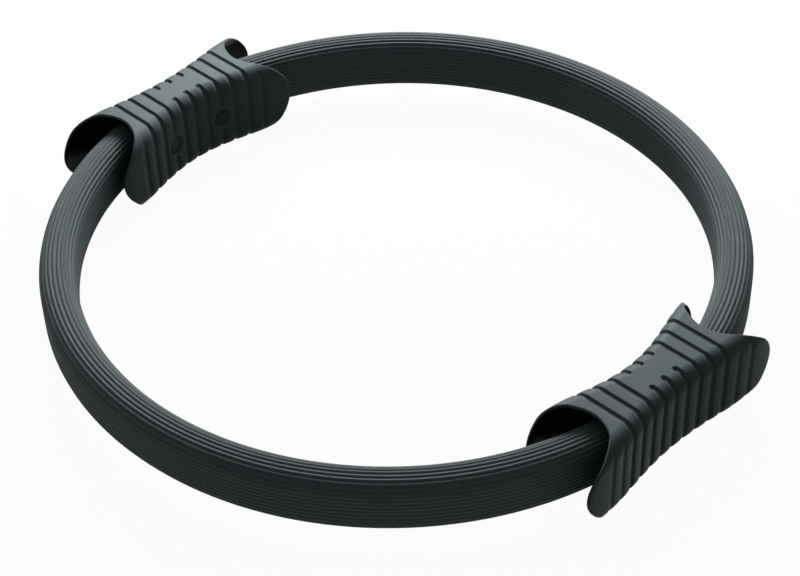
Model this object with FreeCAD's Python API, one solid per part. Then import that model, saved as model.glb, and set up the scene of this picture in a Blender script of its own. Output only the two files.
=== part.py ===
import FreeCAD, Part
import math
import os

# Pilates ring: a spring band in a ribbed sleeve, with a grooved grip on each side.
# Millimetres. The ring lies in the XY plane with its centre at the origin, the grips on the X axis.

# Ring sleeve
RING_OUTER_DIAMETER = 370.0
SLEEVE_THICKNESS = 19.0
SLEEVE_HEIGHT = 30.0
SLEEVE_CORNER = 6.5
RIB_COUNT = 36
RIB_DEPTH = 0.45

# Spring band inside the sleeve
BAND_THICKNESS = 1.5
BAND_HEIGHT = 20.0
BAND_CLEARANCE = 0.15

# How far the ring bends at each side of a flexure line, in degrees
SQUEEZE_ANGLE = 12.0
PULL_ANGLE = 4.0
RELIEF_EXTRA = 0.6
FLEX_GAP = 0.25

# Grip form: hourglass in plan, with rounded ears at the ends
GRIP_WAIST = 29.8
GRIP_OFFSET = 4.9
GRIP_EDGE_RADIUS = 8.0
OUTER_FLARE = 5.4
OUTER_FLARE_SPAN = 56.0
INNER_FLARE = 10.9
INNER_FLARE_SPAN = 61.0
EAR_START = 44.0
OUTER_EAR_LENGTH = 26.2
INNER_EAR_LENGTH = 16.6
MOUTH_RADIUS = 17.0
MOUTH_DEPTH = 40.6
MOUTH_INSET = 2.6
MOUTH_CLEARANCE = 4.2
SKIN_THICKNESS = 2.0
CORE_THICKNESS = 1.8
CORE_SETBACK = 5.0
BAR_SPARE = 3.0
SIDE_POINT_COUNT = 8

# Grip grooves, counted from the middle one
GROOVE_PITCH = 8.7
GROOVE_WIDTH = 2.2
GROOVE_DEPTH = 1.1
FIELD_WIDTH = 12.0
RECESS_MARGIN = 2.0
BROKEN_GROOVE_COUNT = 1
SCREW_GROOVE_COUNT = 2
RING_GROOVE_COUNT = 4
INNER_GROOVE_COUNT = 5
OUTER_GROOVE_COUNT = 6

# Clamp inside the grip
CLAMP_HALF_LENGTH = 27.0
CLAMP_GAP = 0.4
FLEX_HALF_SPAN = 30.0
SLEEVE_END_SPAN = 34.0
PLATE_THICKNESS = 2.0
PLATE_HALF_LENGTH = 25.0
PLATE_HEIGHT = 18.0
BAND_END_GAP = 0.5
POCKET_CLEARANCE = 0.25

# Screws and plugs
SCREW_DIAMETER = 4.0
SCREW_HOLE_CLEARANCE = 0.2
SCREW_HEAD_DIAMETER = 7.5
SCREW_HEAD_HEIGHT = 2.6
SCREW_GRIP = 5.0
PLUG_DIAMETER = 9.4
PLUG_LENGTH = 3.2
PLUG_RECESS = 0.9
DRIVE_LENGTH = 5.0
DRIVE_WIDTH = 1.6
DRIVE_DEPTH = 1.4

# Derived places
MID_RADIUS = (RING_OUTER_DIAMETER - SLEEVE_THICKNESS) / 2
GRIP_CENTRE = MID_RADIUS - GRIP_OFFSET
GRIP_HEIGHT = SLEEVE_HEIGHT + 2 * (MOUTH_CLEARANCE + CORE_THICKNESS + SKIN_THICKNESS)
HALF_HEIGHT = GRIP_HEIGHT / 2
HALF_WAIST = GRIP_WAIST / 2
SCREW_SPAN = SCREW_GROOVE_COUNT * GROOVE_PITCH
BAR_TIP = EAR_START + max(OUTER_EAR_LENGTH, INNER_EAR_LENGTH) + BAR_SPARE
REACH = 2 * BAR_TIP
UP = FreeCAD.Vector(0, 0, 1)
ORIGIN = FreeCAD.Vector(0, 0, 0)

FLEX_ANGLE = math.degrees(math.asin(FLEX_HALF_SPAN / MID_RADIUS))
SLEEVE_END_ANGLE = math.degrees(math.asin(SLEEVE_END_SPAN / MID_RADIUS))
GAP_ANGLE = math.degrees(FLEX_GAP / MID_RADIUS)


def point(x, y, z=0.0):
    return FreeCAD.Vector(x, y, z)


def box(x0, x1, y0, y1, z0, z1):
    return Part.makeBox(x1 - x0, y1 - y0, z1 - z0, point(x0, y0, z0))


def prism(points, z0, z1):
    """Upright prism on a plan polygon."""
    wire = Part.makePolygon(points + [points[0]])
    solid = Part.Face(wire).extrude(point(0, 0, z1 - z0))
    solid.translate(point(0, 0, z0))
    return solid


def arc_strip(inner, outer, half_height, start, end):
    """Upright strip bent round the ring's axis, between two angles in degrees."""
    face = Part.Face(Part.makePolygon([
        point(inner, 0, -half_height), point(outer, 0, -half_height),
        point(outer, 0, half_height), point(inner, 0, half_height), point(inner, 0, -half_height)]))
    solid = face.revolve(ORIGIN, UP, end - start)
    solid.rotate(ORIGIN, UP, start)
    return solid


# Ribbed sleeve

def outline_point(along, inset):
    """Point on the sleeve's rounded section, a distance along it from the outer face's middle."""
    half_x = SLEEVE_THICKNESS / 2
    half_z = SLEEVE_HEIGHT / 2
    side = half_z - SLEEVE_CORNER
    flat = 2 * (half_x - SLEEVE_CORNER)
    turn = math.pi / 2 * SLEEVE_CORNER
    radius = SLEEVE_CORNER - inset
    if along <= side:
        return half_x - inset, along
    along -= side
    for corner_x, corner_z, first, run in (
            (1, 1, 0, flat), (-1, 1, 90, 2 * side), (-1, -1, 180, flat), (1, -1, 270, side)):
        centre_x = corner_x * (half_x - SLEEVE_CORNER)
        centre_z = corner_z * side
        if along <= turn:
            angle = math.radians(first) + along / SLEEVE_CORNER
            return centre_x + radius * math.cos(angle), centre_z + radius * math.sin(angle)
        along -= turn
        if along <= run:
            angle = math.radians(first + 90)
            return (centre_x + radius * math.cos(angle) - along * math.sin(angle),
                    centre_z + radius * math.sin(angle) + along * math.cos(angle))
        along -= run
    return half_x - inset, along


def sleeve_section():
    """Scalloped section of the sleeve with the slot for the band."""
    perimeter = 4 * (SLEEVE_THICKNESS / 2 + SLEEVE_HEIGHT / 2 - 2 * SLEEVE_CORNER)
    perimeter += 2 * math.pi * SLEEVE_CORNER
    pitch = perimeter / RIB_COUNT

    def at(step, inset):
        x, z = outline_point((step * pitch) % perimeter, inset)
        return point(MID_RADIUS + x, 0, z)

    ribs = []
    for rib in range(RIB_COUNT):
        arc = Part.Arc(at(rib, RIB_DEPTH), at(rib + 0.5, 0), at(rib + 1, RIB_DEPTH))
        ribs.append(arc.toShape())
    half_slot = BAND_THICKNESS / 2 + BAND_CLEARANCE
    slot_top = BAND_HEIGHT / 2 + BAND_CLEARANCE
    slot = Part.makePolygon([
        point(MID_RADIUS - half_slot, 0, -slot_top), point(MID_RADIUS + half_slot, 0, -slot_top),
        point(MID_RADIUS + half_slot, 0, slot_top), point(MID_RADIUS - half_slot, 0, slot_top),
        point(MID_RADIUS - half_slot, 0, -slot_top)])
    return Part.Face(Part.Wire(ribs)).cut(Part.Face(slot)).Faces[0]


def apex_relief():
    """Wedge taken off a sleeve at the side of the ring, so two quarters fold without meeting."""
    depth = SLEEVE_THICKNESS
    inner = FLEX_GAP + depth * math.tan(math.radians(SQUEEZE_ANGLE + RELIEF_EXTRA))
    outer = FLEX_GAP + depth * math.tan(math.radians(PULL_ANGLE + RELIEF_EXTRA))
    return prism([
        point(FLEX_GAP, -MID_RADIUS), point(inner, -MID_RADIUS + depth), point(-depth, -MID_RADIUS + depth),
        point(-depth, -MID_RADIUS - depth), point(outer, -MID_RADIUS - depth)],
        -SLEEVE_HEIGHT, SLEEVE_HEIGHT)


def front_right_sleeve():
    sleeve = sleeve_section().revolve(ORIGIN, UP, 90 - SLEEVE_END_ANGLE)
    sleeve.rotate(ORIGIN, UP, -90)
    return sleeve.cut(apex_relief())


def front_right_band():
    half = BAND_THICKNESS / 2
    return arc_strip(MID_RADIUS - half, MID_RADIUS + half, BAND_HEIGHT / 2,
                     -90 + GAP_ANGLE, -FLEX_ANGLE - GAP_ANGLE)


# Right grip

def half_width(rise, reach, span, inset):
    """Width of the grip to one side of its middle line: it swings out to a reach, then back in."""
    share = (span / reach) ** 2
    slope = 4 * rise * span / reach ** 2 * (1 - share)
    return HALF_WAIST + rise * (2 * share - share ** 2) - inset * math.hypot(1, slope)


def long_side(facing, rise, reach, inset):
    """Plan points of the grip's outer side, facing 1, or inner side, facing -1."""
    points = []
    for step in range(-SIDE_POINT_COUNT, SIDE_POINT_COUNT + 1):
        span = BAR_TIP * step / SIDE_POINT_COUNT
        points.append(point(GRIP_CENTRE + facing * half_width(rise, reach, span, inset), span, inset - HALF_HEIGHT))
    return points


def grip_form(inset):
    """Hourglass bar with rounded long edges, drawn in from the outside by an inset."""
    edges = []
    sides = (long_side(1, OUTER_FLARE, OUTER_FLARE_SPAN, inset),
             long_side(-1, INNER_FLARE, INNER_FLARE_SPAN, inset)[::-1])
    for side, other in (sides, sides[::-1]):
        curve = Part.BSplineCurve()
        curve.interpolate(side)
        edges += [curve.toShape(), Part.makeLine(side[-1], other[0])]
    bar = Part.Face(Part.Wire(edges)).extrude(point(0, 0, GRIP_HEIGHT - 2 * inset))
    long_edges = [e for e in bar.Edges if isinstance(e.Curve, Part.BSplineCurve)]
    return bar.makeFillet(max(GRIP_EDGE_RADIUS - inset, CORE_THICKNESS / 2), long_edges)


def ear_arc(x, start, length):
    """Half an ellipse from the grip's top, round the tip of an ear, to its underside."""
    centre = point(x, start, 0)
    tip = point(x, start + length, 0)
    top = point(x, start, HALF_HEIGHT)
    if abs(length) > HALF_HEIGHT:
        return Part.ArcOfEllipse(Part.Ellipse(tip, top, centre), -math.pi / 2, math.pi / 2).toShape()
    return Part.ArcOfEllipse(Part.Ellipse(top, tip, centre), 0, math.pi).toShape()


def ear_limit(setback):
    """Side outline of the grip: straight in the middle, rounded at the ears, longer on the outside."""
    halves = []
    start = EAR_START - setback
    for inner_x, outer_x, length in (
            (GRIP_CENTRE - REACH, GRIP_CENTRE, INNER_EAR_LENGTH),
            (GRIP_CENTRE, GRIP_CENTRE + REACH, OUTER_EAR_LENGTH)):
        edges = [ear_arc(inner_x, start, length), ear_arc(inner_x, -start, -length)]
        for z in (-HALF_HEIGHT, HALF_HEIGHT):
            edges.append(Part.makeLine(point(inner_x, -start, z), point(inner_x, start, z)))
        wire = Part.Wire(Part.__sortEdges__(edges))
        halves.append(Part.Face(wire).extrude(point(outer_x - inner_x, 0, 0)))
    return halves[0].fuse(halves[1])


def mouths(growth):
    """The mouth cut in from both ends of the grip, through its height: round inside, straight to the tips."""
    radius = MOUTH_RADIUS + growth
    middle = GRIP_CENTRE - MOUTH_INSET
    cuts = None
    for side in (-1, 1):
        inside = side * (MOUTH_DEPTH + MOUTH_RADIUS)
        bore = Part.makeCylinder(radius, 2 * GRIP_HEIGHT, point(middle, inside, -GRIP_HEIGHT))
        way_out = box(middle - radius, middle + radius, min(inside, side * REACH), max(inside, side * REACH),
                      -GRIP_HEIGHT, GRIP_HEIGHT)
        bore = bore.fuse(way_out).removeSplitter()
        cuts = bore if cuts is None else cuts.fuse(bore)
    return cuts


def groove_slabs():
    """Slabs where the grooves are: whole rings, rings broken on top, and short ones on the ears."""
    far = REACH
    keep_top = box(GRIP_CENTRE - FIELD_WIDTH / 2, GRIP_CENTRE + FIELD_WIDTH / 2, -far, far, -far, far)
    keep_recess = box(GRIP_CENTRE - far, GRIP_CENTRE, -far, far,
                      -PLUG_DIAMETER / 2 - RECESS_MARGIN, PLUG_DIAMETER / 2 + RECESS_MARGIN)
    slabs = []
    for step in range(-OUTER_GROOVE_COUNT, OUTER_GROOVE_COUNT + 1):
        middle = step * GROOVE_PITCH
        start_x = GRIP_CENTRE if abs(step) > INNER_GROOVE_COUNT else GRIP_CENTRE - far
        tall = HALF_HEIGHT - GRIP_EDGE_RADIUS if abs(step) > RING_GROOVE_COUNT else far
        slab = box(start_x, GRIP_CENTRE + far, middle - GROOVE_WIDTH / 2, middle + GROOVE_WIDTH / 2, -tall, tall)
        if abs(step) <= BROKEN_GROOVE_COUNT:
            slab = slab.cut(keep_top)
        if abs(step) == SCREW_GROOVE_COUNT:
            slab = slab.cut(keep_recess)
        slabs.append(slab)
    return slabs


PLUG_OUT = GRIP_CENTRE - half_width(INNER_FLARE, INNER_FLARE_SPAN, SCREW_SPAN, 0) + PLUG_RECESS
HEAD_OUT = PLUG_OUT + PLUG_LENGTH
SEAT_OUT = HEAD_OUT + SCREW_HEAD_HEIGHT
BAND_OUT = math.sqrt(MID_RADIUS ** 2 - SCREW_SPAN ** 2)
SCREW_TIP = BAND_OUT + BAND_THICKNESS / 2 + SCREW_GRIP


def screw_bars(diameter, start, end):
    """Round bars along both screw axes, from one distance out to another."""
    bars = []
    for side in (-1, 1):
        bars.append(Part.makeCylinder(diameter / 2, end - start, point(start, side * SCREW_SPAN),
                                      FreeCAD.Vector(1, 0, 0)))
    return bars


def grip_skin():
    ridged = grip_form(0).cut(groove_slabs()).fuse(grip_form(GROOVE_DEPTH))
    skin = ridged.common(ear_limit(0)).cut(grip_form(SKIN_THICKNESS)).cut(mouths(0))
    return skin.cut(screw_bars(PLUG_DIAMETER, GRIP_CENTRE - REACH, GRIP_CENTRE)).removeSplitter()


def core_halves():
    """The two clamp halves under the skin, parted on the ring's own curve."""
    hollow = grip_form(SKIN_THICKNESS + CORE_THICKNESS)
    web = box(GRIP_CENTRE - REACH, GRIP_CENTRE + REACH, -CLAMP_HALF_LENGTH, CLAMP_HALF_LENGTH,
              -GRIP_HEIGHT, GRIP_HEIGHT)
    core = grip_form(SKIN_THICKNESS).common(ear_limit(CORE_SETBACK)).cut(mouths(CORE_SETBACK))
    core = core.cut(hollow.cut(web))
    half_band = BAND_THICKNESS / 2 + POCKET_CLEARANCE
    band = arc_strip(MID_RADIUS - half_band, MID_RADIUS + half_band,
                     BAND_HEIGHT / 2 + POCKET_CLEARANCE, -2 * FLEX_ANGLE, 2 * FLEX_ANGLE)
    plate = arc_strip(MID_RADIUS - half_band - PLATE_THICKNESS, MID_RADIUS,
                      PLATE_HEIGHT / 2 + POCKET_CLEARANCE, -2 * FLEX_ANGLE, 2 * FLEX_ANGLE)
    core = core.cut(band.fuse(plate).removeSplitter())
    inner = core.common(Part.makeCylinder(MID_RADIUS - CLAMP_GAP / 2, 2 * GRIP_HEIGHT, point(0, 0, -GRIP_HEIGHT)))
    outer = core.cut(Part.makeCylinder(MID_RADIUS + CLAMP_GAP / 2, 2 * GRIP_HEIGHT, point(0, 0, -GRIP_HEIGHT)))
    inner = inner.cut(screw_bars(PLUG_DIAMETER, GRIP_CENTRE - REACH, SEAT_OUT))
    inner = inner.cut(screw_bars(SCREW_DIAMETER + 2 * SCREW_HOLE_CLEARANCE, SEAT_OUT, SCREW_TIP))
    outer = outer.cut(screw_bars(SCREW_DIAMETER, SEAT_OUT, SCREW_TIP))
    return inner, outer


def splice_plate():
    angle = math.degrees(math.asin(PLATE_HALF_LENGTH / MID_RADIUS))
    face = MID_RADIUS - BAND_THICKNESS / 2
    plate = arc_strip(face - PLATE_THICKNESS, face, PLATE_HEIGHT / 2, -angle, angle)
    return plate.cut(screw_bars(SCREW_DIAMETER + 2 * SCREW_HOLE_CLEARANCE, SEAT_OUT, SCREW_TIP))


def rear_band_end():
    half = BAND_THICKNESS / 2
    end = arc_strip(MID_RADIUS - half, MID_RADIUS + half, BAND_HEIGHT / 2,
                    math.degrees(BAND_END_GAP / 2 / MID_RADIUS), FLEX_ANGLE - GAP_ANGLE)
    return end.cut(screw_bars(SCREW_DIAMETER + 2 * SCREW_HOLE_CLEARANCE, SEAT_OUT, SCREW_TIP))


def screws():
    made = []
    heads = screw_bars(SCREW_HEAD_DIAMETER, HEAD_OUT, SEAT_OUT)
    shanks = screw_bars(SCREW_DIAMETER, SEAT_OUT, SCREW_TIP)
    for head, shank, side in zip(heads, shanks, (-1, 1)):
        middle = side * SCREW_SPAN
        drive = None
        for wide, tall in ((DRIVE_LENGTH, DRIVE_WIDTH), (DRIVE_WIDTH, DRIVE_LENGTH)):
            bar = box(HEAD_OUT - DRIVE_DEPTH, HEAD_OUT + DRIVE_DEPTH,
                      middle - wide / 2, middle + wide / 2, -tall / 2, tall / 2)
            drive = bar if drive is None else drive.fuse(bar)
        made.append(head.fuse(shank).cut(drive).removeSplitter())
    return Part.makeCompound(made)


def plugs():
    return Part.makeCompound(screw_bars(PLUG_DIAMETER, PLUG_OUT, HEAD_OUT))


# Placing and saving

def turned(shape):
    """The same piece on the opposite grip."""
    other = shape.copy()
    other.rotate(ORIGIN, UP, 180)
    return other


def mirrored(shape, along_x, along_y):
    other = shape
    if along_x:
        other = other.mirror(ORIGIN, FreeCAD.Vector(1, 0, 0))
    if along_y:
        other = other.mirror(ORIGIN, FreeCAD.Vector(0, 1, 0))
    return other


nodes = {}
inner_core, outer_core = core_halves()
rear_end = rear_band_end()
front_end = mirrored(rear_end, False, True)
for name, shape in (
        ("grip_skin", grip_skin()), ("inner_core", inner_core), ("outer_core", outer_core),
        ("splice_plate", splice_plate()), ("screws", screws()), ("plugs", plugs())):
    nodes["right_" + name] = shape
    nodes["left_" + name] = turned(shape)
nodes["right_band_end_front"] = front_end
nodes["right_band_end_rear"] = rear_end
nodes["left_band_end_front"] = turned(rear_end)
nodes["left_band_end_rear"] = turned(front_end)
for name, shape in (("sleeve", front_right_sleeve()), ("band", front_right_band())):
    nodes["front_" + name + "_right"] = shape
    nodes["front_" + name + "_left"] = mirrored(shape, True, False)
    nodes["rear_" + name + "_right"] = mirrored(shape, False, True)
    nodes["rear_" + name + "_left"] = mirrored(shape, True, True)

os.makedirs("parts", exist_ok=True)
for name, shape in nodes.items():
    shape.exportStep("parts/" + name + ".step")
    print(name, len(shape.Solids), round(shape.Volume), shape.isValid())
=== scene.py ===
"""Pilates ring: a ribbed foam sleeve round a spring band, with a grooved rubber grip on each side."""

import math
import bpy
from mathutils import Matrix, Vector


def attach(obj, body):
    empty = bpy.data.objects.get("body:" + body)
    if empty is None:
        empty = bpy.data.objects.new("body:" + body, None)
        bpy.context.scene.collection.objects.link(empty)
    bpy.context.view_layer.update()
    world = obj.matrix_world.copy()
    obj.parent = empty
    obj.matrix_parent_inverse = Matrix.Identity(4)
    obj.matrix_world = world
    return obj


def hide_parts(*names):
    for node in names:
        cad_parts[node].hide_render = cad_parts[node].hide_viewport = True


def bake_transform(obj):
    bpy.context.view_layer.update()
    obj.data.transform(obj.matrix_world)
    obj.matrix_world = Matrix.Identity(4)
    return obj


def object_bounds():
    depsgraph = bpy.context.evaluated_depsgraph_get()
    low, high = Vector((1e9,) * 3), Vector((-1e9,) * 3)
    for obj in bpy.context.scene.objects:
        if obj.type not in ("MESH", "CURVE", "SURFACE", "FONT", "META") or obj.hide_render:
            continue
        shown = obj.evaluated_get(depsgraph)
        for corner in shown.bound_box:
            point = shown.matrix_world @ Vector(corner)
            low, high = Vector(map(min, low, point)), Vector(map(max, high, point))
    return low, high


bl_info = {
    "name": "Pilates Ring",
    "version": (1, 0, 0),
    "blender": (4, 5, 0),
    "location": "3D View > Sidebar > Pilates Ring",
    "description": "Builds the sleeve, grips, plugs and finishes of a pilates ring on its CAD frame",
    "category": "Object",
}

import bmesh
import bpy
from bpy.props import FloatProperty, FloatVectorProperty, IntProperty, PointerProperty
from mathutils import Matrix, Vector

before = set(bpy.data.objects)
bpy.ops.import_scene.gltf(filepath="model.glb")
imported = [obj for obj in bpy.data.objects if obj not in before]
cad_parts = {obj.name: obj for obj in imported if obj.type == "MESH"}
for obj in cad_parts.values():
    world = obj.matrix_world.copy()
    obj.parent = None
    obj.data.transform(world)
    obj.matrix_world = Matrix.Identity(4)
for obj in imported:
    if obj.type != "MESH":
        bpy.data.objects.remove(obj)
CAD_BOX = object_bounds()

MM = 0.001
HANDLES = ("right", "left")
HALVES = ("front", "rear")

# Vertices closer than this become one
WELD = 0.001 * MM

# The sleeve's grid: faces across a rib, and steps along half the ring
RIB_FACES = 8
SPIN_STEPS = 108

# Rows of the grip skin within half a groove pitch, in millimetres from a groove's middle
GROOVE_ROWS = (0.0, 0.3, 0.55, 0.75, 0.95, 1.15, 1.3, 1.45, 1.6, 1.75, 1.95, 2.4, 3.0, 3.7, 4.35)
# Faces round the grip's section: side, edge, top, edge, inner side, edge, underside, edge
SECTION_FACES = (30, 18, 32, 18, 48, 18, 32, 18)
OUTER_SIDE, TOP, INNER_SIDE, UNDERSIDE = 0, 2, 4, 6
# Rows along an ear, round the lip at its rim, and back along the lining
EAR_ROWS = 72
LIP_ROWS = 8
LINING_ROWS = 12
# Sideways from the grip's middle to where the lining's rows begin to fan out to the rim
LINING_START = 36 * MM
# Angle round the lip past which its faces belong to the lining
LIP_TURN = 0.55 * math.pi
# The rim is found in steps, then by halving, and its curve is evened out
RIM_STEP = 0.5 * MM
RIM_HALVINGS = 14
RIM_SOFTENING = 50

# Grooves counted from the middle one: the last with a plain field on top, the one with a recess,
# the last on the body, and the last on an outer and an inner ear
FIELD_GROOVE = 1
RECESS_GROOVE = 2
BODY_GROOVE = 4
OUTER_EAR_GROOVE = 6
INNER_EAR_GROOVE = 5
# Depth of the grooves on the ears as a share of the others, and the heights between which they fade
OUTER_EAR_DEPTH = 0.6
INNER_EAR_DEPTH = 0.95
EAR_FADE = (14 * MM, 21 * MM)
# Foot and head of a groove's wall as shares of its half width, and how much wider it is on the sides
WALL_FOOT = 0.3
WALL_HEAD = 1.05
SIDE_WIDENING = 0.12
# Share of a rib's crown that is left on top, and where crowns fade beside the field and the recesses
TOP_CROWN = 0.2
FIELD_FADE = 3 * MM
RECESS_FADE = 2 * MM
# Foot and head of a recess's wall, from its radius
RECESS_WALL = (-0.1 * MM, 0.35 * MM)
# Where the edges' rounding grows, from where the ears begin, and where the ears' roll is full
EDGE_GROWTH = (-6 * MM, 14 * MM)
ROLL_FULL = 8 * MM

# A plug's sides, its softened edge, and the widths and depths of the rings that dish its face
PLUG_SIDES = 48
PLUG_BEVEL = 0.35 * MM
PLUG_BEVEL_STEPS = 4
PLUG_DISH = ((0.3 * MM, 0.0), (0.5 * MM, -0.25 * MM), (1.2 * MM, -0.1 * MM))

# Half the floor's width, its faces along a side, and the gap that keeps it clear of the grips
FLOOR_REACH = 4.0
FLOOR_FACES = 8
FLOOR_GAP = 0.1 * MM
# Width of the camera's sensor in millimetres
SENSOR_WIDTH = 36.0


def linear(code):
    """Linear colour with alpha from an sRGB hex value."""
    made = []
    for start in (1, 3, 5):
        value = int(code[start:start + 2], 16) / 255
        made.append(value / 12.92 if value <= 0.04045 else ((value + 0.055) / 1.055) ** 2.4)
    return (*made, 1.0)


def length(name, default, description):
    """A length property in metres."""
    return FloatProperty(name=name, description=description, default=default,
                         unit="LENGTH", precision=5)


def colour(name, code, description):
    """A colour property from an sRGB hex value."""
    return FloatVectorProperty(name=name, description=description, default=linear(code), size=4,
                               subtype="COLOR", min=0.0, max=1.0)


class SleeveSizes(bpy.types.PropertyGroup):
    """Sizes of the foam sleeve."""

    ring_diameter: length("Ring diameter", 370 * MM, "Across the outside of the sleeve")
    thickness: length("Thickness", 19 * MM, "From the inside of the ring to the outside")
    height: length("Height", 31.4 * MM, "Along the ring's axis")
    corner: length("Corner", 8.4 * MM, "Rounding of the sleeve's section")
    rib_count: IntProperty(name="Ribs", description="Lengthwise ribs round the section", default=36)
    rib_depth: length("Rib depth", 0.66 * MM, "From a rib's crest to the valley beside it")
    end_span: length("End", 34 * MM, "Sideways from the grip's middle to the sleeve's end")


class GripSizes(bpy.types.PropertyGroup):
    """Sizes of the rubber grips."""

    centre: length("Distance out", 170.6 * MM, "From the ring's axis to the middle of a grip")
    height: length("Height", 46 * MM, "Along the ring's axis")
    waist: length("Waist", 29.8 * MM, "From the inner face to the outer one, at the middle")
    outer_flare: length("Outer flare", 5.4 * MM, "How far the outer face swings out towards the ears")
    outer_reach: length("Outer reach", 60 * MM, "From the middle to where the outer face is widest")
    inner_flare: length("Inner flare", 10.9 * MM, "How far the inner face swings out towards the ears")
    inner_reach: length("Inner reach", 61 * MM, "From the middle to where the inner face is widest")
    edge: length("Edge", 8 * MM, "Rounding of the long edges")
    ear_edge: length("Ear edge", 9.5 * MM, "Rounding of the long edges at the tips of the ears")
    ear_start: length("Ear start", 44 * MM, "Sideways from the middle to where the ears begin")
    outer_ear: length("Outer ear", 26.2 * MM, "Length of an outer ear")
    inner_ear: length("Inner ear", 18.8 * MM, "Length of an inner ear")
    outer_power: FloatProperty(
        name="Outer ear power", default=1.75,
        description="Roundness of an outer ear: 2 is an ellipse, less is more pointed")
    inner_power: FloatProperty(
        name="Inner ear power", default=1.6,
        description="Roundness of an inner ear: 2 is an ellipse, less is more pointed")
    ear_roll: length("Ear roll", 0.5 * MM, "How far an ear's face rolls in at its rim")
    ear_roll_width: length("Ear roll width", 5 * MM, "Width of the strip that rolls in")
    mouth_radius: length("Mouth radius", 17 * MM, "Radius of the mouths in plan")
    mouth_depth: length("Mouth depth", 40.6 * MM, "Sideways from the middle to a mouth's floor")
    mouth_inset: length("Mouth inset", 2.6 * MM, "How far a mouth lies inwards of the grip's middle")
    skin: length("Skin", 1.9 * MM, "Thickness of the rubber")
    groove_pitch: length("Groove pitch", 8.7 * MM, "From one groove to the next")
    groove_width: length("Groove width", 3.4 * MM, "Across a groove on top")
    groove_depth: length("Groove depth", 1.2 * MM, "Into the rubber")
    crown: length("Rib crown", 0.2 * MM, "How far a rib falls away to the grooves on the grip's sides")
    field: length("Plain field", 11.6 * MM, "Width of the plain field on top")
    field_inset: length("Field inset", 1.2 * MM, "How far the field lies inwards of the grip's middle")
    recess: length("Recess", 10.2 * MM, "Diameter of a screw recess")
    recess_margin: length("Recess margin", 2 * MM, "From a recess to the ends of its groove")
    recess_depth: length("Recess depth", 1.86 * MM, "Into the rubber, to below the plug's face")
    plug_face: length("Plug face", 1.4 * MM, "How far a plug lies under the inner face")
    plug_length: length("Plug length", 3.2 * MM, "Along a plug's axis")


class FinishColours(bpy.types.PropertyGroup):
    """Colours of the finishes."""

    grip: colour("Grip", "#4c5557", "Moulded rubber of the grips")
    sleeve: colour("Sleeve", "#283335", "Foam rubber of the sleeve")
    # Partly the plugs' own rubber and partly painted shade: darker than the grip so that the recesses
    # look shaded
    plug: colour("Plug", "#3a4143", "Moulded rubber of the plugs")
    # Also given to the rubber lip's inside in the mouths, where it is painted shade
    core: colour("Core", "#070808", "Gloss plastic of the cores")
    band: colour("Band", "#596069", "Blued spring steel")
    zinc: colour("Zinc", "#b4b7ba", "Zinc plating of screws and plates")


class StageSettings(bpy.types.PropertyGroup):
    """Camera, light and floor."""

    azimuth: FloatProperty(name="Azimuth", description="Camera's turn round the ring, from the front",
                           default=math.radians(45.3), subtype="ANGLE")
    elevation: FloatProperty(name="Elevation", description="Camera's height above the ring's plane",
                             default=math.radians(40.286), subtype="ANGLE")
    distance: length("Distance", 1.0751, "From the ring's centre to the camera")
    pan: FloatProperty(name="Pan", description="Camera turned aside from the centre",
                       default=math.radians(0.0843), subtype="ANGLE")
    tilt: FloatProperty(name="Tilt", description="Camera turned up from the centre",
                        default=math.radians(-1.0463), subtype="ANGLE")
    roll: FloatProperty(name="Roll", description="Camera turned about its own line of sight",
                        default=math.radians(-1.7820), subtype="ANGLE")
    lens: FloatProperty(name="Lens", description="Focal length on a sensor 36 mm wide, in millimetres",
                        default=92.25)
    floor: colour("Floor", "#6a6d6d", "Painted floor, as it lights the ring")
    floor_white: FloatProperty(name="Floor white", default=1.06,
                               description="Strength of the white that the camera sees on the floor")
    floor_share: FloatProperty(name="Floor share", default=0.9, subtype="FACTOR",
                               description="Share of that white: the rest is the floor with its shadow")
    key_power: FloatProperty(name="Softbox", default=22.0,
                             description="Power of the softbox behind the ring, in watts")
    key_width: length("Softbox width", 0.62, "Across the softbox")
    key_height: length("Softbox height", 0.34, "Up the softbox")
    key_place: FloatVectorProperty(
        name="Softbox place", default=(0.03, 0.78, 0.52), subtype="TRANSLATION",
        description="Aside, behind and above the ring, from the camera's side")
    fill: FloatProperty(name="Fill", description="Strength of the light from all round", default=0.12)


# Materials

def set_inputs(tree, node, inputs):
    """Gives a node its input values and the links into it."""
    for socket, value in inputs.items():
        if isinstance(value, bpy.types.NodeSocket):
            tree.links.new(value, node.inputs[socket])
        else:
            node.inputs[socket].default_value = value


def add_node(tree, kind, inputs=None, **settings):
    """Adds a node, with its settings, its input values and the links into it."""
    made = tree.nodes.new(kind)
    for name, value in settings.items():
        setattr(made, name, value)
    set_inputs(tree, made, inputs or {})
    return made


def new_material(name):
    """A new node material with its tree, its shader and the object's own coordinates."""
    material = bpy.data.materials.new(name)
    material.use_nodes = True
    tree = material.node_tree
    tree.nodes.clear()
    shader = add_node(tree, "ShaderNodeBsdfPrincipled")
    add_node(tree, "ShaderNodeOutputMaterial", {"Surface": shader.outputs["BSDF"]})
    place = add_node(tree, "ShaderNodeTexCoord").outputs["Object"]
    return material, tree, shader, place


def shaded(base, factor):
    """A colour made lighter or darker."""
    return (*[min(1.0, value * factor) for value in base[:3]], 1.0)


def noise(tree, place, size, detail, roughness=0.5):
    """Value of a noise whose features are about one size across."""
    return add_node(tree, "ShaderNodeTexNoise", {
        "Vector": place, "Scale": 1 / size, "Detail": detail, "Roughness": roughness}).outputs["Fac"]


def spread(tree, value, low, high):
    """A noise's value, stretched from the middle of its range to run from low to high."""
    return add_node(tree, "ShaderNodeMapRange", {
        "Value": value, "From Min": 0.3, "From Max": 0.7,
        "To Min": low, "To Max": high}).outputs["Result"]


def tinted(tree, value, base, dark, light):
    """A colour that a noise makes darker and lighter."""
    return add_node(tree, "ShaderNodeMix", {
        0: value, 6: shaded(base, dark), 7: shaded(base, light)}, data_type="RGBA").outputs[2]


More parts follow.
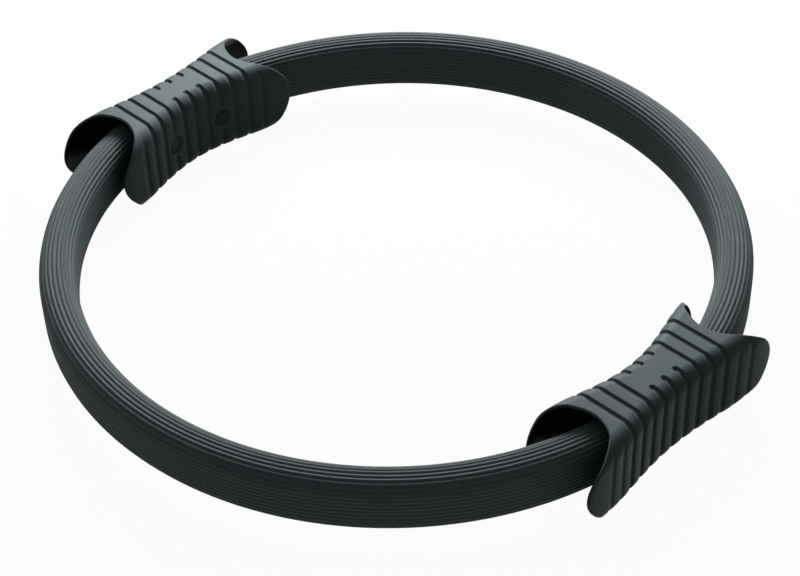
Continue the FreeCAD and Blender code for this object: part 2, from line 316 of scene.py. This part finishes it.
def relief(tree, height, depth, strength):
    """The way a surface faces where a noise raises it by up to a depth."""
    return add_node(tree, "ShaderNodeBump", {
        "Strength": strength, "Distance": depth, "Height": height}).outputs["Normal"]


def moulded_rubber(name, base, grain_size):
    """Thermoplastic rubber from a spark-eroded mould: a dry matt skin whose fine grain
    softens the light, with a grey bloom in patches and a little gloss where it is handled."""
    material, tree, shader, place = new_material(name)
    # A real grain is about 0.1 mm, too fine for the render, so it is drawn coarser
    grain = noise(tree, place, grain_size, 2.0, 0.6)
    bloom = noise(tree, place, 14 * MM, 4.0, 0.62)
    set_inputs(tree, shader, {
        "Base Color": tinted(tree, bloom, base, 0.82, 1.2),
        "Roughness": spread(tree, bloom, 0.42, 0.5),
        "Normal": relief(tree, grain, 0.05 * MM, 0.5),
        "Specular IOR Level": 0.035})
    return material


def extruded_foam(base):
    """Nitrile foam tube, extruded: a soft matt skin with drawn streaks along the ribs and
    pinholes where cells broke the surface."""
    material, tree, shader, place = new_material("extruded nitrile foam")
    split = add_node(tree, "ShaderNodeSeparateXYZ", {"Vector": place})
    across = add_node(tree, "ShaderNodeVectorMath", {
        0: place, 1: (1.0, 1.0, 0.0)}, operation="MULTIPLY").outputs["Vector"]
    radius = add_node(tree, "ShaderNodeVectorMath", {0: across}, operation="LENGTH").outputs["Value"]
    angle = add_node(tree, "ShaderNodeMath", {
        0: split.outputs["Y"], 1: split.outputs["X"]}, operation="ARCTAN2").outputs["Value"]
    # A radian of the ring counts as 12 mm, so streaks are about 15 times as long as they are wide
    along = add_node(tree, "ShaderNodeMath", {
        0: angle, 1: 12 * MM}, operation="MULTIPLY").outputs["Value"]
    drawn = add_node(tree, "ShaderNodeCombineXYZ", {
        "X": radius, "Y": along, "Z": split.outputs["Z"]}).outputs["Vector"]
    streak = noise(tree, drawn, 0.9 * MM, 3.0, 0.6)
    # Real cells are about 0.2 mm, too fine for the render, so they are drawn coarser
    cells = noise(tree, place, 0.7 * MM, 2.0, 0.65)
    set_inputs(tree, shader, {
        "Base Color": tinted(tree, streak, base, 0.75, 1.25),
        "Roughness": spread(tree, streak, 0.66, 0.76),
        "Normal": relief(tree, cells, 0.03 * MM, 0.3),
        "Specular IOR Level": 0.3})
    return material


def gloss_plastic(name, base):
    """ABS from a polished mould: deep black with clear soft reflections and faint flow marks."""
    material, tree, shader, place = new_material(name)
    flow = noise(tree, place, 9 * MM, 3.0)
    set_inputs(tree, shader, {
        "Base Color": base,
        "Roughness": spread(tree, flow, 0.16, 0.28),
        "Normal": relief(tree, flow, 0.1 * MM, 0.3),
        "Specular IOR Level": 0.06})
    return material


def rolled_steel(name, base, grain_size, low, high):
    """Steel strip or plated steel: rolling lines and plating crystals that break up the shine,
    from a low roughness to a high one."""
    material, tree, shader, place = new_material(name)
    # Squeezed upright, so that the grain lies in lines along the strip
    lines = add_node(tree, "ShaderNodeMapping", {
        "Vector": place, "Scale": (1.0, 1.0, 12.0)}).outputs["Vector"]
    grain = noise(tree, lines, grain_size, 3.0)
    set_inputs(tree, shader, {
        "Base Color": tinted(tree, grain, base, 0.85, 1.1),
        "Roughness": spread(tree, grain, low, high),
        "Metallic": 1.0})
    return material


def studio_floor(settings):
    """Matt painted floor, faintly mottled by the roller: white to the camera and in reflections,
    and it keeps a soft shadow."""
    material, tree, shader, place = new_material("rolled matt studio paint")
    mottle = noise(tree, place, 300 * MM, 2.0)
    set_inputs(tree, shader, {
        "Base Color": tinted(tree, mottle, settings.floor, 0.99, 1.01),
        "Specular IOR Level": 0.0})
    white = add_node(tree, "ShaderNodeEmission", {
        "Color": (1, 1, 1, 1), "Strength": settings.floor_white}).outputs["Emission"]
    share = add_node(tree, "ShaderNodeMath", {
        0: seen_rays(tree), 1: settings.floor_share}, operation="MULTIPLY").outputs["Value"]
    mixed = add_node(tree, "ShaderNodeMixShader", {0: share, 1: shader.outputs["BSDF"], 2: white})
    output = next(node for node in tree.nodes if node.type == "OUTPUT_MATERIAL")
    tree.links.new(mixed.outputs["Shader"], output.inputs["Surface"])
    return material


def seen_rays(tree):
    """1 for camera, glossy and transmission rays, and 0 for the rays that light the object."""
    path = add_node(tree, "ShaderNodeLightPath")
    seen = path.outputs["Is Camera Ray"]
    for name in ("Is Glossy Ray", "Is Transmission Ray"):
        seen = add_node(tree, "ShaderNodeMath", {0: seen, 1: path.outputs[name]},
                        operation="MAXIMUM").outputs["Value"]
    return seen


# Shapes

def smoothstep(low, high, value):
    """0 below low, 1 above high, and a smooth rise between."""
    part = min(1.0, max(0.0, (value - low) / (high - low)))
    return part * part * (3 - 2 * part)


def piece(name, mesh_data, *materials):
    """Turns a bmesh into a smooth-shaded object in the scene, with its materials."""
    bmesh.ops.remove_doubles(mesh_data, verts=mesh_data.verts, dist=WELD)
    bmesh.ops.recalc_face_normals(mesh_data, faces=mesh_data.faces)
    for face in mesh_data.faces:
        face.smooth = True
    mesh = bpy.data.meshes.new(name)
    mesh_data.to_mesh(mesh)
    mesh_data.free()
    for material in materials:
        mesh.materials.append(material)
    made = bpy.data.objects.new(name, mesh)
    bpy.context.collection.objects.link(made)
    return made


def rounded_section(sizes, along, inset):
    """Point on the sleeve's rounded section, a distance along it from the outer face's middle."""
    flat = sizes.thickness - 2 * sizes.corner
    side = sizes.height - 2 * sizes.corner
    turn = math.pi / 2 * sizes.corner
    along = (along + side / 2) % (2 * flat + 2 * side + 4 * turn)
    radius = sizes.corner - inset
    for quarter, run in enumerate((side, flat, side, flat)):
        angle = quarter * math.pi / 2
        facing = Vector((math.cos(angle), math.sin(angle)))
        ahead = Vector((-facing.y, facing.x))
        middle = (flat / 2 if quarter % 2 == 0 else side / 2)
        start = facing * (middle + radius) - ahead * run / 2
        if along <= run:
            return start + ahead * along
        along -= run
        if along <= turn:
            swing = angle + along / sizes.corner
            centre = facing * middle + ahead * run / 2
            return centre + radius * Vector((math.cos(swing), math.sin(swing)))
        along -= turn
    raise ValueError("the point lies past the end of the section")


def sleeve_mesh(sizes, half):
    """Half the ring's sleeve: the ribbed section turned round the ring's axis."""
    perimeter = 2 * (sizes.thickness + sizes.height - 4 * sizes.corner) + 2 * math.pi * sizes.corner
    pitch = perimeter / sizes.rib_count
    mid_radius = (sizes.ring_diameter - sizes.thickness) / 2
    end_angle = math.asin(sizes.end_span / mid_radius)
    first = math.pi + end_angle if half == "front" else end_angle
    count = sizes.rib_count * RIB_FACES
    made = bmesh.new()
    bmesh.ops.create_circle(made, segments=count, radius=mid_radius)
    for step, vert in enumerate(made.verts):
        share = step / RIB_FACES
        inset = sizes.rib_depth * (1 - abs(math.sin(math.pi * share)))
        place = rounded_section(sizes, share * pitch, inset)
        vert.co = (mid_radius + place.x, 0, place.y)
    bmesh.ops.rotate(made, verts=made.verts, cent=(0, 0, 0), matrix=Matrix.Rotation(first, 3, "Z"))
    start = list(made.edges)
    bmesh.ops.contextual_create(made, geom=start)
    turned = bmesh.ops.spin(made, geom=start, cent=(0, 0, 0), axis=(0, 0, 1),
                            angle=math.pi - 2 * end_angle, steps=SPIN_STEPS, use_duplicate=False)
    end = [part for part in turned["geom_last"] if isinstance(part, bmesh.types.BMEdge)]
    bmesh.ops.contextual_create(made, geom=end)
    return made


def half_width(waist, rise, reach, span, inset):
    """From the grip's middle line to a side that swings out to a reach and comes back past it."""
    share = (span / reach) ** 2
    slope = 4 * rise * span / reach ** 2 * (1 - share)
    return waist / 2 + rise * share * (2 - share) - inset * math.hypot(1, slope)


def ear_length(grip, out):
    """How far the ear on one side of the grip reaches past where the ears begin."""
    return grip.outer_ear if out > 0 else grip.inner_ear


def section_place(grip, face, part, span, inset):
    """Point out from the grip's middle line, up from its middle, and the way the face looks."""
    span = abs(span)
    outer = half_width(grip.waist, grip.outer_flare, grip.outer_reach, span, inset)
    inner = half_width(grip.waist, grip.inner_flare, grip.inner_reach, span, inset)
    high = grip.height / 2 - inset
    growth = smoothstep(EDGE_GROWTH[0], EDGE_GROWTH[1], span - grip.ear_start)
    edge = grip.edge + (grip.ear_edge - grip.edge) * growth - inset
    right, left, top = outer - edge, edge - inner, high - edge
    if face % 2:
        quarter = face // 2
        centre = Vector(((right, top), (left, top), (left, -top), (right, -top))[quarter])
        swing = (quarter + part) * math.pi / 2
        facing = Vector((math.cos(swing), math.sin(swing)))
        place = centre + edge * facing
    elif face in (OUTER_SIDE, INNER_SIDE):
        way = 1 if face == OUTER_SIDE else -1
        facing = Vector((way, 0))
        place = Vector((outer if way > 0 else -inner, way * top * (2 * part - 1)))
    else:
        way = 1 if face == TOP else -1
        facing = Vector((0, way))
        place = Vector(((right + left) / 2 + way * (left - right) * (part - 0.5), way * high))
    return place - Vector((facing.x * ear_rolled(grip, place, facing, span), 0)), facing


def ear_rolled(grip, place, facing, span):
    """How far an ear's face has rolled in towards the mouth, near its rim."""
    ear, high = ear_length(grip, place.x), grip.height / 2
    past = max(0.0, span - grip.ear_start)
    share = math.hypot(past / ear, place.y / high)
    if past == 0.0 or share == 0.0:
        return 0.0
    from_rim = (1 - share) * share / math.hypot(past / ear ** 2, place.y / high ** 2)
    near = max(0.0, 1 - max(0.0, from_rim) / grip.ear_roll_width)
    return grip.ear_roll * near ** 2 * facing.x ** 2 * smoothstep(0, ROLL_FULL, past)


def in_rubber(grip, place, span):
    """Whether a point of the bar is left after the ears are rounded and the mouth is cut."""
    level = min(1.0, abs(place.y) / (grip.height / 2))
    power = grip.outer_power if place.x > 0 else grip.inner_power
    share = (1 - level ** power) ** (1 / power)
    reach = grip.ear_start + ear_length(grip, place.x) * share
    inside = min(0.0, span - grip.mouth_depth - grip.mouth_radius)
    return span < reach and math.hypot(place.x + grip.mouth_inset, inside) > grip.mouth_radius


def rim_spans(grip, columns):
    """Where each column of the skin ends, sideways from the grip's middle."""
    spans = []
    for face, part in columns:
        low, high = LINING_START, LINING_START
        while in_rubber(grip, section_place(grip, face, part, high, 0)[0], high):
            low, high = high, high + RIM_STEP
        for _ in range(RIM_HALVINGS):
            middle = (low + high) / 2
            if in_rubber(grip, section_place(grip, face, part, middle, 0)[0], middle):
                low = middle
            else:
                high = middle
        spans.append(low)
    count = len(spans)
    for _ in range(RIM_SOFTENING):
        spans = [(spans[step - 1] + 2 * spans[step] + spans[(step + 1) % count]) / 4
                 for step in range(count)]
    return spans


def groove_cut(grip, face, place, facing, span):
    """How deep the grooves and the ribs' crowns lie at a point of the skin."""
    on_side = facing.x ** 2
    half = grip.groove_width / 2 * (1 + SIDE_WIDENING * on_side)
    half_pitch = grip.groove_pitch / 2
    step = round(abs(span) / grip.groove_pitch)
    gap = abs(abs(span) - step * grip.groove_pitch)
    share = 1.0
    fall = max(0.0, (half_pitch - gap) / (half_pitch - half)) ** 2
    if step <= FIELD_GROOVE and face in (TOP, UNDERSIDE):
        aside = abs(place.x + grip.field_inset)
        gap = math.hypot(gap, max(0.0, grip.field / 2 + half - aside))
        fall *= smoothstep(grip.field / 2, grip.field / 2 + FIELD_FADE, aside)
    elif step == RECESS_GROOVE and face == INNER_SIDE:
        clear = grip.recess / 2 + grip.recess_margin
        gap = math.hypot(gap, max(0.0, clear + half - abs(place.y)))
        fall *= smoothstep(clear - RECESS_FADE, clear + RECESS_FADE, abs(place.y))
    elif step > BODY_GROOVE:
        last = OUTER_EAR_GROOVE if place.x > 0 else INNER_EAR_GROOVE
        full = OUTER_EAR_DEPTH if place.x > 0 else INNER_EAR_DEPTH
        share = full * (1 - smoothstep(*EAR_FADE, abs(place.y))) if step <= last else 0.0
    depth = grip.groove_depth * (1 - smoothstep(WALL_FOOT * half, WALL_HEAD * half, gap))
    crown = grip.crown * (TOP_CROWN + (1 - TOP_CROWN) * on_side)
    return share * (depth + crown * min(1.0, fall))


def recess_cut(grip, face, place, span):
    """How deep a screw recess lies at a point of the skin's inner side."""
    if face != INNER_SIDE:
        return 0.0
    away = math.hypot(abs(span) - RECESS_GROOVE * grip.groove_pitch, place.y)
    foot, head = (grip.recess / 2 + offset for offset in RECESS_WALL)
    return grip.recess_depth * (1 - smoothstep(foot, head, away))


def skin_place(grip, column, span):
    """Point of the skin's outside, with its grooves and recesses."""
    face, part = column
    place, facing = section_place(grip, face, part, span, 0)
    cut = max(groove_cut(grip, face, place, facing, span), recess_cut(grip, face, place, span))
    place = place - facing * cut
    return Vector((grip.centre + place.x, span, place.y))


def lip_place(grip, column, side, end, swing):
    """Point on the rounded lip at a mouth's rim."""
    face, part = column
    half = grip.skin / 2
    base, facing = section_place(grip, face, part, end, 0)
    back = section_place(grip, face, part, end - RIM_STEP, 0)[0]
    ahead = Vector((base.x - back.x, side * RIM_STEP, base.y - back.y)).normalized()
    out = Vector((facing.x, 0, facing.y))
    out = (out - ahead * out.dot(ahead)).normalized()
    centre = Vector((grip.centre + base.x, side * end, base.y)) - out * half
    return centre + half * (out * math.cos(swing) + ahead * math.sin(swing))


def lining_place(grip, column, span):
    """Point of the skin's inside."""
    place = section_place(grip, *column, span, grip.skin)[0]
    return Vector((grip.centre + place.x, span, place.y))


def grip_rows(grip):
    """Rows of the skin's grid: once along the outside, in at one mouth and out at the other.
    A row has its zone, the side of the grip that it is on, and where it lies in its zone."""
    spans = set()
    for step in range(-BODY_GROOVE, BODY_GROOVE + 1):
        for offset in GROOVE_ROWS:
            for side in (-1, 1):
                spans.add(round(step * grip.groove_pitch + side * offset * MM, 7))
    ends = {}
    for side in (1, -1):
        ends[side] = [("ear", side, (step + 1) / EAR_ROWS) for step in range(EAR_ROWS)]
        ends[side] += [("lip", side, math.pi * (step + 1) / LIP_ROWS) for step in range(LIP_ROWS)]
        ends[side] += [("lining", side, 1 - (step + 1) / LINING_ROWS) for step in range(LINING_ROWS)]
    middle = [("core", 1, LINING_START * (1 - step / LINING_ROWS))
              for step in range(1, 2 * LINING_ROWS)]
    return [("skin", 1, span) for span in sorted(spans)] + ends[1] + middle + ends[-1][::-1]


def grip_mesh(grip):
    """The right grip's skin: a grid wrapped round the section and in through both mouths.
    Faces on the inside of the lip and beyond it take the second material, the cores' black gloss
    plastic, which on the rubber lip is painted shade of the mouth."""
    columns = [(face, step / count) for face, count in enumerate(SECTION_FACES)
               for step in range(count)]
    ends = [span - grip.skin / 2 for span in rim_spans(grip, columns)]
    rows = grip_rows(grip)
    body_end = max(value for zone, side, value in rows if zone == "skin")

    def place(number, row):
        column, end = columns[number], ends[number]
        zone, side, value = row
        if zone == "lip":
            return lip_place(grip, column, side, end, value)
        if zone == "core":
            return lining_place(grip, column, value)
        if zone == "lining":
            return lining_place(grip, column, side * (LINING_START + value * (end - LINING_START)))
        if zone == "ear":
            value = side * (body_end + value * (end - body_end))
        return skin_place(grip, column, value)

    def inside(row):
        zone, side, value = row
        return zone in ("lining", "core") or zone == "lip" and value > LIP_TURN

    made = bmesh.new()
    across, down = len(columns), len(rows)
    bmesh.ops.create_grid(made, x_segments=across, y_segments=down, size=1.0)
    for face in made.faces:
        row = int((face.calc_center_median().y + 1) / 2 * down)
        # Inside faces take the black plastic: painted shade on the rubber lip, the cores' own colour
        # deeper in
        face.material_index = int(inside(rows[row]) and inside(rows[(row + 1) % down]))
    for vert in made.verts:
        number = round((vert.co.x + 1) / 2 * across) % across
        row = round((vert.co.y + 1) / 2 * down) % down
        vert.co = place(number, rows[row])
    return made


def plug_mesh(grip):
    """The right grip's two plugs: round, with a softened edge and a dished face that
    leans with the skin."""
    span = RECESS_GROOVE * grip.groove_pitch
    flare = (grip.waist, grip.inner_flare, grip.inner_reach)
    inner = half_width(*flare, span, 0)
    face_out = grip.centre - inner + grip.plug_face
    made = bmesh.new()
    bmesh.ops.create_circle(made, cap_ends=True, segments=PLUG_SIDES, radius=grip.recess / 2)
    front = list(made.faces)
    back = bmesh.ops.extrude_face_region(made, geom=front, use_keep_orig=True)["geom"]
    bmesh.ops.translate(made, verts=[part for part in back if isinstance(part, bmesh.types.BMVert)],
                        vec=(0, 0, -grip.plug_length))
    bmesh.ops.bevel(made, geom=list(front[0].edges), offset=PLUG_BEVEL, offset_type="OFFSET",
                    segments=PLUG_BEVEL_STEPS, profile=0.5, affect="EDGES", material=-1,
                    clamp_overlap=True)
    top = max(made.faces, key=lambda face: (round(face.calc_center_median().z, 6), face.calc_area()))
    for width, depth in PLUG_DISH:
        bmesh.ops.inset_region(made, faces=[top], thickness=width, depth=depth)
    turn = Matrix.Rotation(-math.pi / 2, 4, "Y")
    bmesh.ops.transform(made, matrix=Matrix.Translation((face_out, span, 0)) @ turn, verts=made.verts)
    copy = bmesh.ops.duplicate(made, geom=made.verts[:] + made.edges[:] + made.faces[:])["geom"]
    bmesh.ops.translate(made, verts=[part for part in copy if isinstance(part, bmesh.types.BMVert)],
                        vec=(0, -2 * span, 0))
    for vert in made.verts:
        vert.co.x += inner - half_width(*flare, abs(vert.co.y), 0)
    return made


def turned_to(made, handle):
    """Turns a mesh of the right grip to the left one where that is asked for."""
    if handle == "left":
        half_turn = Matrix.Rotation(math.pi, 3, "Z")
        bmesh.ops.rotate(made, verts=made.verts, cent=(0, 0, 0), matrix=half_turn)
    return made


# Operators

class MakeSleeves(bpy.types.Operator):
    """Make both halves of the ribbed foam sleeve"""

    bl_idname = "pilates_ring.sleeves"
    bl_label = "Sleeves"

    def execute(self, context):
        finish = extruded_foam(context.scene.ring_colours.sleeve)
        for half in HALVES:
            made = piece(half + "_sleeve", sleeve_mesh(context.scene.ring_sleeve, half), finish)
            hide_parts(half + "_sleeve_left", half + "_sleeve_right")
            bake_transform(made)
        return {"FINISHED"}


class MakeGrips(bpy.types.Operator):
    """Make the grooved rubber skins of both grips"""

    bl_idname = "pilates_ring.grips"
    bl_label = "Grips"

    def execute(self, context):
        colours = context.scene.ring_colours
        finish = moulded_rubber("spark-eroded moulded rubber", colours.grip, 0.8 * MM)
        # The lining is the cores' black gloss plastic; on the rubber lip inside the mouths it is
        # painted shade
        lining = gloss_plastic("moulded ABS lining and painted mouth shade", colours.core)
        form = grip_mesh(context.scene.ring_grip)
        for handle in HANDLES:
            made = piece(handle + "_grip", turned_to(form.copy(), handle), finish, lining)
            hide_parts(handle + "_grip_skin")
            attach(made, handle + "_handle")
        form.free()
        return {"FINISHED"}


class MakePlugs(bpy.types.Operator):
    """Make the plugs over the screws of both grips"""

    bl_idname = "pilates_ring.plugs"
    bl_label = "Plugs"

    def execute(self, context):
        # The plugs' colour is partly their own rubber and partly painted shade of the recesses
        finish = moulded_rubber("smooth moulded rubber", context.scene.ring_colours.plug, 1.2 * MM)
        for handle in HANDLES:
            form = turned_to(plug_mesh(context.scene.ring_grip), handle)
            made = piece(handle + "_screw_plugs", form, finish)
            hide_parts(handle + "_plugs")
            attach(made, handle + "_handle")
        return {"FINISHED"}


class FinishHardware(bpy.types.Operator):
    """Give the cores, bands, plates and screws their finishes"""

    bl_idname = "pilates_ring.hardware"
    bl_label = "Hardware"

    def execute(self, context):
        colours = context.scene.ring_colours
        core = gloss_plastic("moulded ABS", colours.core)
        band = rolled_steel("blued spring steel", colours.band, 1.5 * MM, 0.3, 0.45)
        zinc = rolled_steel("zinc plated steel", colours.zinc, 0.6 * MM, 0.25, 0.45)
        finishes = {"core": core, "band": band, "plate": zinc, "screws": zinc}
        for name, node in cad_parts.items():
            for word, material in finishes.items():
                if word in name:
                    node.data.materials.clear()
                    node.data.materials.append(material)
        return {"FINISHED"}


class SetStage(bpy.types.Operator):
    """Set the floor, the camera and the light"""

    bl_idname = "pilates_ring.stage"
    bl_label = "Stage"

    def execute(self, context):
        settings = context.scene.ring_stage
        made = bmesh.new()
        bmesh.ops.create_grid(made, x_segments=FLOOR_FACES, y_segments=FLOOR_FACES, size=FLOOR_REACH)
        bmesh.ops.translate(made, verts=made.verts, vec=(0, 0, CAD_BOX[0].z - FLOOR_GAP))
        floor = piece("studio_floor", made, studio_floor(settings))
        set_camera(context, settings)
        set_light(context, settings)
        context.scene.view_settings.view_transform = "Standard"
        return {"FINISHED"}


def set_camera(context, settings):
    """The camera, looking at the ring from the photograph's side."""
    turn = Matrix.Rotation(settings.azimuth, 3, "Z")
    level = Vector((0, math.cos(settings.elevation), -math.sin(settings.elevation)))
    right = Vector((1, 0, 0))
    up = right.cross(level)
    ahead = (level * math.cos(settings.pan) + right * math.sin(settings.pan)) * math.cos(settings.tilt)
    ahead = ahead + up * math.sin(settings.tilt)
    across = (right * math.cos(settings.pan) - level * math.sin(settings.pan)).normalized()
    top = across.cross(ahead)
    across, top = (across * math.cos(settings.roll) + top * math.sin(settings.roll),
                   top * math.cos(settings.roll) - across * math.sin(settings.roll))
    axes = Matrix((turn @ across, turn @ top, turn @ -ahead)).transposed()
    data = bpy.data.cameras.new("camera")
    data.sensor_width = SENSOR_WIDTH
    data.lens = settings.lens
    camera = bpy.data.objects.new("camera", data)
    camera.matrix_world = Matrix.Translation(turn @ (-level * settings.distance)) @ axes.to_4x4()
    context.collection.objects.link(camera)
    context.scene.camera = camera


def set_light(context, settings):
    """A softbox above and behind the ring, and an even light from all round."""
    turn = Matrix.Rotation(settings.azimuth, 3, "Z")
    data = bpy.data.lights.new("softbox", "AREA")
    data.shape = "RECTANGLE"
    data.size, data.size_y = settings.key_width, settings.key_height
    data.energy = settings.key_power
    softbox = bpy.data.objects.new("softbox", data)
    softbox.location = turn @ Vector(settings.key_place)
    softbox.rotation_euler = (-softbox.location).to_track_quat("-Z", "Y").to_euler()
    softbox.visible_camera = False
    context.collection.objects.link(softbox)
    world = bpy.data.worlds.new("studio")
    world.use_nodes = True
    tree = world.node_tree
    tree.nodes.clear()
    fill = add_node(tree, "ShaderNodeBackground", {"Color": (1, 1, 1, 1), "Strength": settings.fill})
    white = add_node(tree, "ShaderNodeBackground", {"Color": (1, 1, 1, 1), "Strength": 1.0})
    mixed = add_node(tree, "ShaderNodeMixShader", {
        0: seen_rays(tree), 1: fill.outputs["Background"], 2: white.outputs["Background"]})
    add_node(tree, "ShaderNodeOutputWorld", {"Surface": mixed.outputs["Shader"]})
    context.scene.world = world


class RingPanel(bpy.types.Panel):
    """The ring's sizes, colours and pieces"""

    bl_idname = "VIEW3D_PT_pilates_ring"
    bl_label = "Pilates Ring"
    bl_space_type = "VIEW_3D"
    bl_region_type = "UI"
    bl_category = "Pilates Ring"

    def draw(self, context):
        for group in GROUPS:
            box = self.layout.box()
            settings = getattr(context.scene, group)
            for name in settings.__annotations__:
                box.prop(settings, name)
        for operator in OPERATORS:
            self.layout.operator(operator.bl_idname)


GROUPS = {"ring_sleeve": SleeveSizes, "ring_grip": GripSizes, "ring_colours": FinishColours,
          "ring_stage": StageSettings}
OPERATORS = (MakeSleeves, MakeGrips, MakePlugs, FinishHardware, SetStage)
CLASSES = (*GROUPS.values(), *OPERATORS, RingPanel)


def register():
    """Registers the classes and gives every scene the settings."""
    for made in CLASSES:
        bpy.utils.register_class(made)
    for name, group in GROUPS.items():
        setattr(bpy.types.Scene, name, PointerProperty(type=group))


def unregister():
    """Takes the settings and the classes away again."""
    for name in GROUPS:
        delattr(bpy.types.Scene, name)
    for made in reversed(CLASSES):
        bpy.utils.unregister_class(made)


def main():
    """Builds the ring on its frame."""
    register()
    bpy.ops.pilates_ring.sleeves()
    bpy.ops.pilates_ring.grips()
    bpy.ops.pilates_ring.plugs()
    bpy.ops.pilates_ring.hardware()
    bpy.ops.pilates_ring.stage()


if __name__ == "__main__":
    main()
